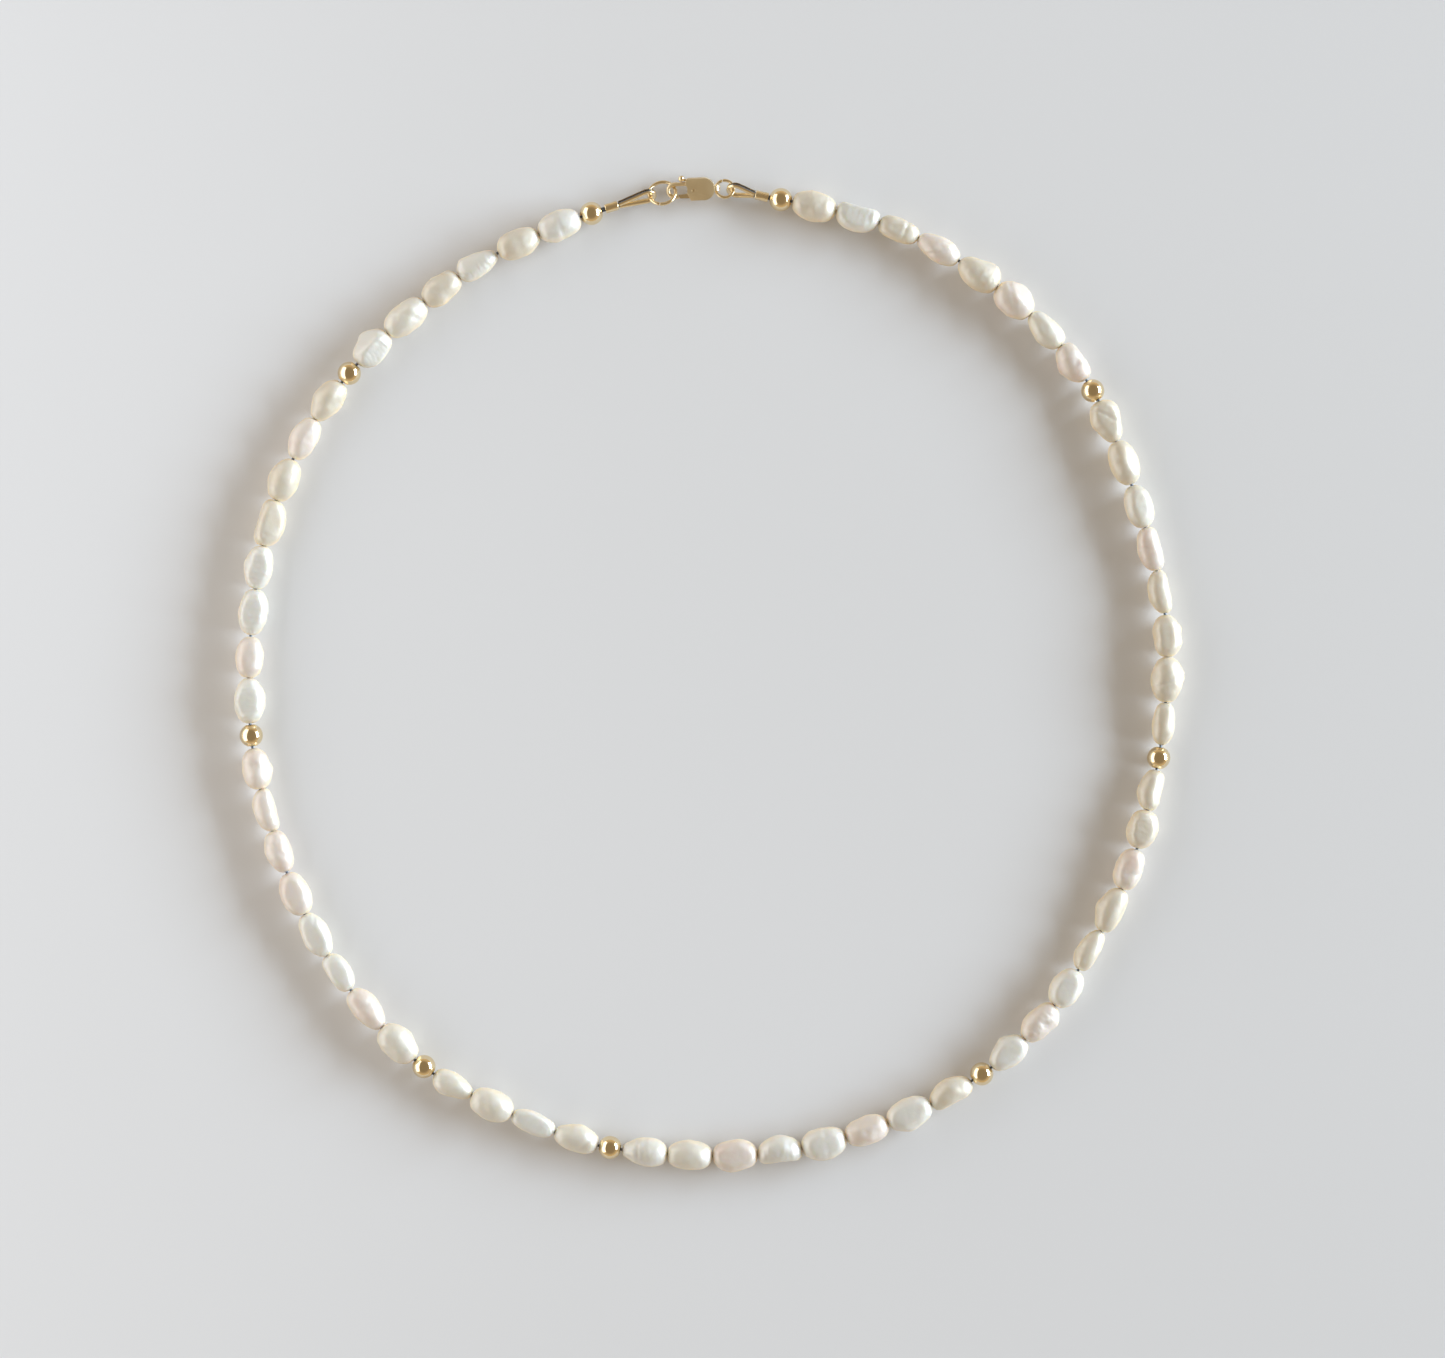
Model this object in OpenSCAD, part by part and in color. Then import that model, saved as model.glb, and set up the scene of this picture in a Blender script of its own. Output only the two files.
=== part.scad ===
// Freshwater pearl necklace on beading wire, closed with a lobster clasp.
// Frame: +Z up, +Y towards the clasp, origin on the resting surface at the middle of the loop.

/* [Strand] */
// Diameter of the round gold beads
gold_bead_d = 3; // [2.8:0.1:3.2]
// Drilled hole of a gold bead, wide enough for the wire and its turned-back tail
gold_bore_d = 1.1; // [1.05:0.05:1.3]
// Drilled hole of a pearl
pearl_bore_d = 0.7; // [0.6:0.05:0.9]
// Diameter of the stranded beading wire
wire_d = 0.38; // [0.3:0.01:0.38]
// Height of the clasp, rings and crimps above the resting surface
clasp_z = 1.45; // [1.3:0.05:1.6]

/* [Wire guards and crimps] */
// Outer diameter of a guard's channel
guard_tube_d = 0.72; // [0.68:0.02:0.76]
// Inner diameter of a guard's channel
guard_bore_d = 0.48; // [0.46:0.01:0.5]
// Radius of a guard's bend, to the middle of the wire
guard_bend_r = 0.95; // [0.9:0.01:1]
// Reach of the left-hand guard's legs, from the middle of its bend
leg_left = 3.75; // [3.6:0.05:3.9]
// Reach of the right-hand guard's legs
leg_right = 2.4; // [2.3:0.05:2.5]
// Length of a crimp tube
crimp_len = 1.7; // [1.6:0.1:1.8]
// Width of a pressed crimp tube
crimp_w = 1.15; // [1.1:0.05:1.3]
// Half the spacing of the two wires inside a crimp
lane = 0.21; // [0.2:0.005:0.215]

/* [Rings] */
// Radius of the jump ring, to the middle of its wire
jump_ring_r = 1.72; // [1.7:0.01:1.76]
// Wire diameter of the jump ring
jump_wire_d = 0.45; // [0.4:0.01:0.46]
// Radius of the small ring at the clasp's tail, to the middle of its wire
tail_ring_r = 1.15; // [1.14:0.01:1.18]
// Wire diameter of the tail ring
tail_wire_d = 0.4; // [0.36:0.01:0.4]

/* [Clasp] */
// Half the height of the clasp's body
body_half = 1.42; // [1.4:0.01:1.46]
// Thickness of the clasp's body
body_t = 1.7; // [1.6:0.05:1.8]
// Thickness of the hook's round wire
hook_d = 0.5; // [0.46:0.01:0.52]
// Radius of the hook's curl, to the middle of its wire
hook_r = 0.8; // [0.78:0.01:0.82]
// Thickness of the lever
lever_t = 0.5; // [0.44:0.01:0.52]
// Width of the slot that the lever works in
slot_t = 0.62; // [0.6:0.01:0.66]
// Diameter of the lever's pin
pin_d = 0.4; // [0.36:0.01:0.42]

/* [Hidden] */
$fn = 32;
small = 0.02;
pearl_colour = [0.94, 0.92, 0.86];
gold_colour = [0.84, 0.67, 0.4];
wire_colour = [0.27, 0.28, 0.29];

// ---- Where the closure lies -------------------------------------------------
// The clasp's middle, its turn about Z, and its roll that lifts the hook's back.
clasp_at = [-2.45, 62.25, clasp_z];
clasp_turn = 2.5;
clasp_roll = 12;
// Where each ring crosses the clasp, in the clasp's own frame.
hook_cross = [-2.05, -0.08, 0];
tail_cross = [3.2, 0, 0];
// Headings in the XY plane and the rings' tilts about them.
jump_heading = 11;
jump_tilt = -29;
tail_heading = -5;
tail_tilt = -12;
guard_left_heading = 17;
guard_left_roll = 60;
guard_right_heading = 167;
guard_right_roll = -57;
// Room between a guard's bend and the ring's wire.
ring_slack = 0.06;
// Bare wire between a guard and its crimp, and between a crimp and the end bead.
mouth = 0.16;
left_bare = 0.36;
right_bare = 0.1;

function heading(a) = [cos(a), sin(a), 0];
function unit(v) = v / norm(v);
function clasp_point(p) =
    let (
        rolled = [p.x, p.y * cos(clasp_roll), p.y * sin(clasp_roll)],
        c = cos(clasp_turn),
        s = sin(clasp_turn)
    )
    clasp_at + [rolled.x * c - rolled.y * s, rolled.x * s + rolled.y * c, rolled.z];
function level(p) = [p.x, p.y, clasp_z];

jump_centre = level(clasp_point(hook_cross)) - jump_ring_r * heading(jump_heading);
tail_centre = level(clasp_point(tail_cross)) + tail_ring_r * heading(tail_heading);

// A guard's frame: X towards the ring, Y across its legs, origin at the middle of its bend.
guard_inside = guard_bend_r - guard_tube_d / 2;
left_eye = jump_centre - jump_ring_r * heading(jump_heading);
right_eye = tail_centre + tail_ring_r * heading(tail_heading);
guard_left_at = left_eye
    - (guard_inside - jump_wire_d / 2 - ring_slack) * heading(guard_left_heading);
guard_right_at = right_eye
    - (guard_inside - tail_wire_d / 2 - ring_slack) * heading(guard_right_heading);
strand_start = guard_right_at
    - (leg_right + mouth + crimp_len + right_bare) * heading(guard_right_heading);
strand_end = guard_left_at
    - (leg_left + mouth + crimp_len + left_bare) * heading(guard_left_heading);

// ---- The strand -------------------------------------------------------------
// Route of the strand, clockwise from the right-hand gold bead at the clasp.
route_points = [
    [13.5, 60], [24.5, 57], [35, 51], [43.5, 44], [49.5, 36], [53.5, 26.5], [57, 15.5],
    [59, 4.5], [58.5, -7], [57, -15.5], [54, -26], [49, -36], [42.5, -45.5], [35, -52],
    [26, -57], [14.5, -61], [3, -62.5], [-8.5, -62], [-17, -60.5], [-28, -56], [-37, -51],
    [-44.5, -43.5], [-51, -34], [-55.5, -23.5], [-58.5, -13], [-59.5, -3.5], [-59, 7.5],
    [-57, 19], [-52.5, 30], [-46.5, 38.5], [-39.5, 45.5], [-30, 52.5], [-19.5, 57.5]
];
// Each pearl's length along the wire, its width, and how far it tapers towards its far end.
pearls = [
    [5.6, 3.9, 0], [5.6, 3.9, 0], [5.3, 3.2, 0], [5.9, 3.7, -0.1],
    [5.8, 4.2, -0.1], [5.4, 4.1, 0], [5.5, 3.7, -0.1], [5.4, 3.6, 0],
    [5.5, 4.1, 0.15], [5.8, 3.8, 0], [5.6, 3.7, 0], [5.6, 3.3, 0],
    [5.6, 3.1, 0], [5.4, 3.8, 0], [5.7, 3.9, 0], [5.5, 3, 0],
    [5.2, 3.2, 0], [5, 3.9, 0], [5.4, 3.8, 0], [5.9, 3.5, 0],
    [5.7, 3.2, -0.1], [5.3, 4, 0], [5.7, 3.5, 0], [5.4, 4, 0.1],
    [5.9, 3.6, 0], [5.9, 4, 0], [5.6, 3.9, 0], [5.7, 4.1, 0],
    [5.6, 3.8, 0], [5.7, 3.9, 0], [5.7, 3.8, 0], [5.7, 4.1, 0.1],
    [5.7, 3.8, 0.1], [5.8, 3, 0], [5.6, 4.1, 0], [5.5, 3.5, -0.15],
    [5.7, 4.1, 0], [6.1, 3.8, -0.1], [5.3, 3.3, 0], [5.9, 3.4, 0],
    [5.7, 3.8, 0], [5.5, 3.4, 0], [5.5, 3.1, 0], [5.3, 3.8, 0],
    [5.7, 4, 0], [5.3, 3.7, 0], [5.9, 3.8, 0], [5.5, 3.6, 0],
    [6, 3.8, 0], [5.6, 3.8, 0], [5.7, 3.5, 0], [5.7, 4, -0.1],
    [5.4, 4.1, 0], [6.1, 3.9, 0], [5.4, 3.7, 0], [5.7, 3.5, 0.15],
    [5.7, 4.2, 0.1], [5.6, 3.9, 0]
];
// How many pearls lie between one gold bead and the next, clockwise.
runs = [8, 8, 8, 8, 4, 8, 8, 6];
// First pearl and number of pearls of each pearl node, all of one node in one turning band.
pearl_groups = [
    [1, 2], [3, 2], [5, 2], [7, 2], [9, 2], [11, 2], [13, 1], [14, 2], [16, 1], [17, 2],
    [19, 2], [21, 1], [22, 2], [24, 1], [25, 2], [27, 2], [29, 2], [31, 2], [33, 2], [35, 2],
    [37, 2], [39, 2], [41, 1], [42, 2], [44, 1], [45, 2], [47, 2], [49, 2], [51, 2], [53, 2],
    [55, 2], [57, 2]
];

function total(list, n) = n <= 0 ? 0 : list[n - 1] + total(list, n - 1);
gold_count = len(runs) + 1;
gold_at = [for (g = [0 : gold_count - 1]) total(runs, g) + g];
bead_count = len(pearls) + gold_count;
function golds_before(i) = len([for (g = gold_at) if (g < i) g]);
function is_gold(i) = golds_before(i + 1) > golds_before(i);
function bead_len(i) = is_gold(i) ? gold_bead_d : pearls[i - golds_before(i)][0];
function bead_r(i) = is_gold(i) ? gold_bead_d / 2 : pearls[i - golds_before(i)][1] / 2;
// Bead number of a pearl that is counted from 1.
function bead_of_pearl(n) =
    [for (i = [0 : bead_count - 1]) if (!is_gold(i) && i - golds_before(i) == n - 1) i][0];

// The route as one smooth curve through its points, cut finely and measured along.
route = concat([[strand_start.x, strand_start.y]], route_points, [[strand_end.x, strand_end.y]]);
cuts = 12;
function spline(a, b, c, d, t) =
    0.5 * (2 * b + (c - a) * t + (2 * a - 5 * b + 4 * c - d) * pow(t, 2)
        + (3 * b - a - 3 * c + d) * pow(t, 3));
function route_at(k) =
    let (
        last = len(route) - 1,
        i = min(floor(k / cuts), last - 1),
        t = k / cuts - i,
        b = route[i],
        c = route[i + 1],
        a = i > 0 ? route[i - 1] : 2 * b - c,
        d = i + 1 < last ? route[i + 2] : 2 * c - b
    )
    spline(a, b, c, d, t);
fine = [for (k = [0 : cuts * (len(route) - 1)]) route_at(k)];
along = [
    for (
        k = 0, s = 0;
        k < len(fine);
        s = s + (k + 1 < len(fine) ? norm(fine[k + 1] - fine[k]) : 0), k = k + 1
    ) s
];
route_len = along[len(fine) - 1];
x_table = [for (k = [0 : len(fine) - 1]) [along[k], fine[k].x]];
y_table = [for (k = [0 : len(fine) - 1]) [along[k], fine[k].y]];

// The beads fill the route with equal gaps. A knot is the middle of a gap.
bead_lens = [for (i = [0 : bead_count - 1]) bead_len(i)];
bead_sum = total(bead_lens, bead_count);
gap = (route_len - bead_sum) / (bead_count - 1);
function knot_s(i) =
    i == 0 ? 0
    : i == bead_count ? route_len
    : total(bead_lens, i) + (i - 0.5) * gap;
// The wire hangs at the height of the fatter of the two beads beside each gap.
function knot_z(i) = i == 0 || i == bead_count ? clasp_z : max(bead_r(i - 1), bead_r(i));
function knot_at(i) =
    let (s = knot_s(i))
    [lookup(s, x_table), lookup(s, y_table), knot_z(i)];
knots = [for (i = [0 : bead_count]) knot_at(i)];

// Puts children, built about +Z with their middle at the origin, on the line from a to b.
module on_line(a, b) {
    d = b - a;
    translate((a + b) / 2)
        rotate([0, acos(d.z / norm(d)), atan2(d.y, d.x)])
            children();
}

module gold_bead(i) {
    color(gold_colour)
        on_line(knots[i], knots[i + 1])
            difference() {
                sphere(d = gold_bead_d);
                cylinder(d = gold_bore_d, h = gold_bead_d + 1, center = true);
            }
}

// A rice-shaped pearl: blunter than an ellipse at both ends, and drilled.
pearl_blunt = 0.86;
pearl_steps = 14;
module pearl(n) {
    i = bead_of_pearl(n);
    size = pearls[n - 1];
    outline = [
        for (k = [0 : pearl_steps])
            let (t = 180 * k / pearl_steps)
            [
                size[1] / 2 * pow(sin(t), pearl_blunt) * (1 + size[2] * cos(t)) / (1 + abs(size[2])),
                -size[0] / 2 * cos(t)
            ]
    ];
    color(pearl_colour)
        on_line(knots[i], knots[i + 1])
            difference() {
                rotate_extrude() polygon(outline);
                cylinder(d = pearl_bore_d, h = size[0] + 1, center = true);
            }
}

module pearl_group(g) {
    for (n = [pearl_groups[g][0] : pearl_groups[g][0] + pearl_groups[g][1] - 1]) pearl(n);
}

// ---- Beading wire -----------------------------------------------------------
// Which way a guard's own Y axis points, and a point of its plane carried into place.
function guard_side(turn, roll) = cos(roll) * heading(turn + 90) + [0, 0, sin(roll)];
function guard_point(at, turn, roll, p) = at + p.x * heading(turn) + p.y * guard_side(turn, roll);

// The legs leave the bend on its tangents and close in to the spacing of the crimp.
function leg_span(leg) = sqrt(pow(leg, 2) + pow(lane, 2));
function leg_len(leg) = sqrt(pow(leg_span(leg), 2) - pow(guard_bend_r, 2));
function bend_half(leg) = 90 + round(10 * (asin(guard_bend_r / leg_span(leg)) - atan2(lane, leg))) / 10;

// Stops of the wire in a guard's plane: crimp, leg, bend, leg, crimp.
bend_steps = 6;
function guard_stops(leg) =
    let (near = -leg, far = near - mouth - crimp_len, half = bend_half(leg))
    concat(
        [[far, lane], [near, lane]],
        [
            for (k = [0 : bend_steps])
                let (a = half * (1 - 2 * k / bend_steps))
                guard_bend_r * [cos(a), sin(a)]
        ],
        [[near, -lane], [far, -lane]]
    );
right_stops = [
    for (p = guard_stops(leg_right))
        guard_point(guard_right_at, guard_right_heading, guard_right_roll, p)
];
left_stops = [
    for (p = guard_stops(leg_left))
        guard_point(guard_left_at, guard_left_heading, guard_left_roll, p)
];

// Each end of the wire turns back through the crimp and stops beside itself in the end bead.
tail_offset = 0.3;
right_tail = (knots[0] + knots[1]) / 2
    + tail_offset * guard_side(guard_right_heading, guard_right_roll);
left_tail = (knots[bead_count - 1] + knots[bead_count]) / 2
    + tail_offset * guard_side(guard_left_heading, guard_left_roll);
wire_path = concat(
    [right_tail],
    right_stops,
    [for (i = [1 : bead_count - 1]) knots[i]],
    [for (k = [len(left_stops) - 1 : -1 : 0]) left_stops[k]],
    [left_tail]
);

wire_sides = 8;
function path_heading(p, i) = unit(p[min(i + 1, len(p) - 1)] - p[max(i - 1, 0)]);
function square_to(v, d) = unit(v - (v * d) * d);
// Sweeps a round section along a path; its frame is carried from each point to the next.
module swept_wire(path, r) {
    n = len(path);
    heads = [for (i = [0 : n - 1]) path_heading(path, i)];
    sides = [
        for (
            i = 0, f = square_to([0, 0, 1], heads[0]);
            i < n;
            i = i + 1, f = i < n ? square_to(f, heads[i]) : f
        ) f
    ];
    ring_points = [
        for (i = [0 : n - 1], k = [0 : wire_sides - 1])
            let (a = 360 * k / wire_sides)
            path[i] + r * (cos(a) * sides[i] + sin(a) * cross(heads[i], sides[i]))
    ];
    walls = [
        for (i = [0 : n - 2], k = [0 : wire_sides - 1])
            let (m = (k + 1) % wire_sides)
            [
                i * wire_sides + k,
                (i + 1) * wire_sides + k,
                (i + 1) * wire_sides + m,
                i * wire_sides + m
            ]
    ];
    first_cap = [for (k = [0 : wire_sides - 1]) k];
    last_cap = [for (k = [wire_sides - 1 : -1 : 0]) (n - 1) * wire_sides + k];
    polyhedron(ring_points, concat([first_cap], walls, [last_cap]));
}

module beading_wire() {
    color(wire_colour) swept_wire(wire_path, wire_d / 2);
}

// ---- Crimps and wire guards -------------------------------------------------
module in_guard_frame(at, turn, roll) {
    translate(at) rotate([0, 0, turn]) rotate([roll, 0, 0]) children();
}

// A tube pressed to a soft rectangle, with one round-ended hole for both wires.
crimp_corner = 0.3;
crimp_hole_r = 0.22;
module crimp_section() {
    across = crimp_w / 2 - crimp_corner;
    difference() {
        union() {
            square([crimp_w, 2 * across], center = true);
            square([2 * across, crimp_w], center = true);
            for (x = [-across, across], y = [-across, across])
                translate([x, y]) circle(r = crimp_corner);
        }
        square([2 * crimp_hole_r, 2 * lane], center = true);
        for (y = [-lane, lane]) translate([0, y]) circle(r = crimp_hole_r);
    }
}

module crimp_tube(leg) {
    color(gold_colour)
        translate([-leg - mouth - crimp_len, 0, 0])
            rotate([0, 90, 0])
                linear_extrude(crimp_len) crimp_section();
}

// A horseshoe channel, open along its outer side, that keeps the wire loop from kinking.
channel_slot = 0.3;
module channel_section() {
    difference() {
        circle(d = guard_tube_d);
        circle(d = guard_bore_d);
        translate([0, -channel_slot / 2]) square([guard_tube_d, channel_slot]);
    }
}

// The two legs are cut flat where they meet at the crimp, and stay a hair apart.
module wire_guard(leg) {
    half = bend_half(leg);
    color(gold_colour) {
        rotate([0, 0, -half])
            rotate_extrude(angle = 2 * half) translate([guard_bend_r, 0]) channel_section();
        for (side = [-1, 1])
            difference() {
                rotate([0, 0, side * half])
                    translate([guard_bend_r, 0, 0])
                        rotate([-90 * side, 0, 0])
                            linear_extrude(leg_len(leg)) channel_section();
                translate([-leg - 1, small / 2 * side - 1 - side, -1]) cube([leg, 2, 2]);
            }
    }
}

// ---- Rings ------------------------------------------------------------------
// A bent wire ring whose two ends almost meet at its seam.
seam = 3;
module ring(centre, turn, tilt, r, d, seam_at) {
    color(gold_colour)
        translate(centre)
            rotate([0, 0, turn])
                rotate([tilt, 0, 0])
                    rotate([0, 0, seam_at + seam / 2])
                        rotate_extrude(angle = 360 - seam) translate([r, 0]) circle(d = d);
}

module jump_ring() {
    ring(jump_centre, jump_heading, jump_tilt, jump_ring_r, jump_wire_d, 250);
}

module tail_ring() {
    ring(tail_centre, tail_heading, tail_tilt, tail_ring_r, tail_wire_d, 110);
}

// ---- Clasp ------------------------------------------------------------------
// The clasp's frame: X towards its tail, Y towards the hook's back, Z square to its face.
hook_at = [-2.17, -0.1];
pivot = [0.3, -0.1];
gate_reach = 2.06;
gate_gap = 0.07;
slot_end = 1.4;
tail_end_at = 1.62;
tail_r = 0.66;
tail_hole_r = 0.37;
tail_hole_rise = 0.15;
tail_half = 0.32;
hub_r = 0.5;
knob_r = 0.4;
knob_at = [-1.2, 1.4];
pin_slack = 0.03;

module in_clasp_frame() {
    translate(clasp_at) rotate([0, 0, clasp_turn]) rotate([clasp_roll, 0, 0]) children();
}

// The round end is a touch fuller than the straight cheeks.
cheek_half = body_half - small;
module body_outline() {
    polygon([
        [-0.7, 0.6], [-0.7, 1], [-0.45, cheek_half], [tail_end_at, cheek_half],
        [tail_end_at, -cheek_half], [-0.1, -cheek_half], [-0.5, -0.45], [-0.5, 0.25]
    ]);
    translate([tail_end_at, 0]) circle(r = body_half);
}

// The slot that the lever works in. It stops at a web that carries the hook's back.
module lever_slot() {
    translate([0, 0, -slot_t / 2])
        linear_extrude(slot_t)
            polygon([
                [-1, -2], [slot_end, -2], [slot_end, 2], [-1, 2],
                [-1, 0.98], [-0.2, 0.98], [-0.2, 0.4], [-1, 0.4]
            ]);
}

module hook() {
    translate([hook_at.x, hook_at.y, 0])
        rotate([0, 0, 90])
            rotate_extrude(angle = 180) translate([hook_r, 0]) circle(d = hook_d);
    translate([hook_at.x, hook_at.y + hook_r, 0])
        rotate([0, 90, 0]) cylinder(d = hook_d, h = 1.8);
    difference() {
        translate([hook_at.x, hook_at.y - hook_r, 0])
            rotate([0, 90, 0]) cylinder(d = hook_d, h = 1);
        translate([pivot.x, pivot.y, -body_t])
            cylinder(r = gate_reach + gate_gap, h = 2 * body_t);
    }
}

// The tail's eye: a short block with a tall passage that the tail ring hangs in.
module tail_block() {
    translate([tail_cross.x - 0.1, 0, 0])
        rotate([90, 0, 0]) cylinder(r = tail_r, h = 2 * tail_half, center = true);
    translate([tail_cross.x - 0.9, -tail_half, -0.9 * tail_r])
        cube([0.8, 2 * tail_half, 1.8 * tail_r]);
}

module tail_passage() {
    for (z = [-tail_hole_rise, tail_hole_rise])
        translate([tail_cross.x, 0, z])
            rotate([90, 0, 0]) cylinder(r = tail_hole_r, h = 2, center = true);
    translate([tail_cross.x, 0, 0])
        cube([1.8 * tail_hole_r, 2, 2 * tail_hole_rise], center = true);
}

// Two cheeks joined at the tail and the web, with the hook in front and the eye behind.
module clasp_body() {
    color(gold_colour)
        in_clasp_frame() {
            difference() {
                union() {
                    translate([0, 0, -body_t / 2]) linear_extrude(body_t) body_outline();
                    tail_block();
                }
                lever_slot();
                translate([pivot.x, pivot.y, -body_t]) cylinder(d = pin_d + small, h = 2 * body_t);
                tail_passage();
            }
            hook();
        }
}

module lever_outline() {
    difference() {
        union() {
            translate(pivot) circle(r = hub_r);
            intersection() {
                polygon([[-1.9, -1.12], [-1.9, -0.68], [-0.1, -0.5], [0.5, -0.55], [0.3, -1.12]]);
                translate(pivot) circle(r = gate_reach);
            }
            polygon([[-0.1, -0.1], [0.1, 1.04], [-1.1, 1.06], [-1.1, 1.34], [0.45, 1.34], [0.7, 0.1]]);
            polygon([[0.5, 0.2], [1.1, 0.1], [1.1, -0.25], [0.4, -0.5]]);
        }
        translate(pivot) circle(d = pin_d + 2 * pin_slack);
    }
}

module clasp_lever() {
    color(gold_colour)
        in_clasp_frame() {
            translate([0, 0, -lever_t / 2]) linear_extrude(lever_t) lever_outline();
            translate([knob_at.x, knob_at.y, 0]) sphere(r = knob_r);
        }
}

module clasp_lever_pin() {
    color(gold_colour)
        in_clasp_frame()
            translate([pivot.x, pivot.y, 0]) cylinder(d = pin_d, h = body_t - small, center = true);
}

// A bow of flat spring strip that lifts the lever's heel and so shuts the gate.
spring_at = [0.98, -0.72];
spring_r = 0.36;
spring_strip = 0.08;
spring_w = 0.4;
module clasp_spring() {
    color(wire_colour)
        in_clasp_frame()
            translate([spring_at.x, spring_at.y, -spring_w / 2])
                rotate([0, 0, -100])
                    rotate_extrude(angle = 260)
                        translate([spring_r - spring_strip, 0]) square([spring_strip, spring_w]);
}

// ---- Nodes ------------------------------------------------------------------
function two_digits(n) = n < 10 ? str("0", n) : str(n);
function gold_name(g) = str("gold_bead_", g + 1);
function pearl_name(g) =
    let (first = pearl_groups[g][0], count = pearl_groups[g][1])
    count == 1 ? str("pearl_", two_digits(first))
    : str("pearls_", two_digits(first), "_", two_digits(first + count - 1));
gold_nodes = [for (g = [0 : gold_count - 1]) gold_name(g)];
pearl_nodes = [for (g = [0 : len(pearl_groups) - 1]) pearl_name(g)];

beading_wire();
in_guard_frame(guard_left_at, guard_left_heading, guard_left_roll) crimp_tube(leg_left);  // crimp_tube_left
in_guard_frame(guard_right_at, guard_right_heading, guard_right_roll) crimp_tube(leg_right);  // crimp_tube_right
in_guard_frame(guard_left_at, guard_left_heading, guard_left_roll) wire_guard(leg_left);  // wire_guard_left
in_guard_frame(guard_right_at, guard_right_heading, guard_right_roll) wire_guard(leg_right);  // wire_guard_right
jump_ring();
tail_ring();
clasp_body();
clasp_lever();
clasp_lever_pin();
clasp_spring();
for (g = [0 : gold_count - 1])
    gold_bead(gold_at[g]);
for (g = [0 : len(pearl_groups) - 1])
    pearl_group(g);
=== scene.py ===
"""Looks of the pearl necklace: pearls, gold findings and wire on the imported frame."""

import math

import bmesh
import bpy
from mathutils import Matrix, Vector, noise


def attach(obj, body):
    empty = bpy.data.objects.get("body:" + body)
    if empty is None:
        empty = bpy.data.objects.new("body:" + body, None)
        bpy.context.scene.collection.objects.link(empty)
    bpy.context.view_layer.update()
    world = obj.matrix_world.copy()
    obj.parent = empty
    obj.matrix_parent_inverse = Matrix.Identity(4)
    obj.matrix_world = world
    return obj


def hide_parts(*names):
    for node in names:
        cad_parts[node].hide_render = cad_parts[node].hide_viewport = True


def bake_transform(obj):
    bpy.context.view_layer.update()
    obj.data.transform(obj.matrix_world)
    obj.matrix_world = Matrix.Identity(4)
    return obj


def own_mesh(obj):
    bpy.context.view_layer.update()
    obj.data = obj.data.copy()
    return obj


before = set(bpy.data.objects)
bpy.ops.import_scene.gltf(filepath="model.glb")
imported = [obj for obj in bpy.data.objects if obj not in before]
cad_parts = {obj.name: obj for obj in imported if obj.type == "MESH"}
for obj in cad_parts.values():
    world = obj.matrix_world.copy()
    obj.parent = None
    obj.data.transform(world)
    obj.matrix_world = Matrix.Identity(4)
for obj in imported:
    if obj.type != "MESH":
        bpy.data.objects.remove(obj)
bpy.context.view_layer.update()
scene = bpy.context.scene
MM = 0.001


# ---- Camera, floor and light ---------------------------------------------------
# The picture is this wide at the height of the beads' middles.
VIEW_WIDTH = 186.4 * MM
VIEW_MIDDLE = Vector((1.6, -1.0, 2.0)) * MM
LENS = 100
SENSOR = 36


def make_camera():
    """Looks straight down, from where VIEW_WIDTH just fills the picture's width."""
    data = bpy.data.cameras.new("camera")
    data.lens = LENS
    data.sensor_width = SENSOR
    data.clip_start = 0.01
    data.clip_end = 20
    camera = bpy.data.objects.new("camera", data)
    scene.collection.objects.link(camera)
    camera.location = VIEW_MIDDLE + Vector((0, 0, VIEW_WIDTH * LENS / SENSOR))
    scene.camera = camera


def make_area(name, location, target, size, power, colour):
    """A soft rectangular light, aimed at a target."""
    data = bpy.data.lights.new(name, "AREA")
    data.shape = "RECTANGLE"
    data.size, data.size_y = size
    data.energy = power
    data.color = colour
    light = bpy.data.objects.new(name, data)
    scene.collection.objects.link(light)
    light.location = location
    light.rotation_euler = (Vector(target) - Vector(location)).to_track_quat("-Z", "Y").to_euler()


class Nodes:
    """Adds nodes to a tree and joins them, one call each."""

    def __init__(self, tree):
        self.tree = tree

    def put(self, value, socket):
        """Gives a socket its value: another node's output, or a constant."""
        if isinstance(value, bpy.types.NodeSocket):
            self.tree.links.new(value, socket)
        else:
            socket.default_value = value

    def add(self, kind, inputs=(), **settings):
        node = self.tree.nodes.new(kind)
        for key, value in settings.items():
            setattr(node, key, value)
        for key, value in dict(inputs).items():
            self.put(value, node.inputs[key])
        return node

    def ramp(self, factor, low, high):
        """A soft step from 0 at low to 1 at high."""
        return self.add(
            "ShaderNodeMapRange",
            {"Value": factor, "From Min": low, "From Max": high},
            interpolation_type="SMOOTHSTEP",
        ).outputs["Result"]

    def mix(self, factor, a, b):
        """Colour a where factor is 0, and colour b where it is 1."""
        node = self.add("ShaderNodeMix", data_type="RGBA")
        for place, value in ((0, factor), (6, a), (7, b)):
            self.put(value, node.inputs[place])
        return node.outputs[2]

    def maths(self, operation, a, b):
        return self.add("ShaderNodeMath", {0: a, 1: b}, operation=operation).outputs[0]

    def noise(self, where, scale, detail=3.0, roughness=0.5, distortion=0.0):
        return self.add(
            "ShaderNodeTexNoise",
            {
                "Vector": where,
                "Scale": scale,
                "Detail": detail,
                "Roughness": roughness,
                "Distortion": distortion,
            },
        ).outputs["Fac"]


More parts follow.
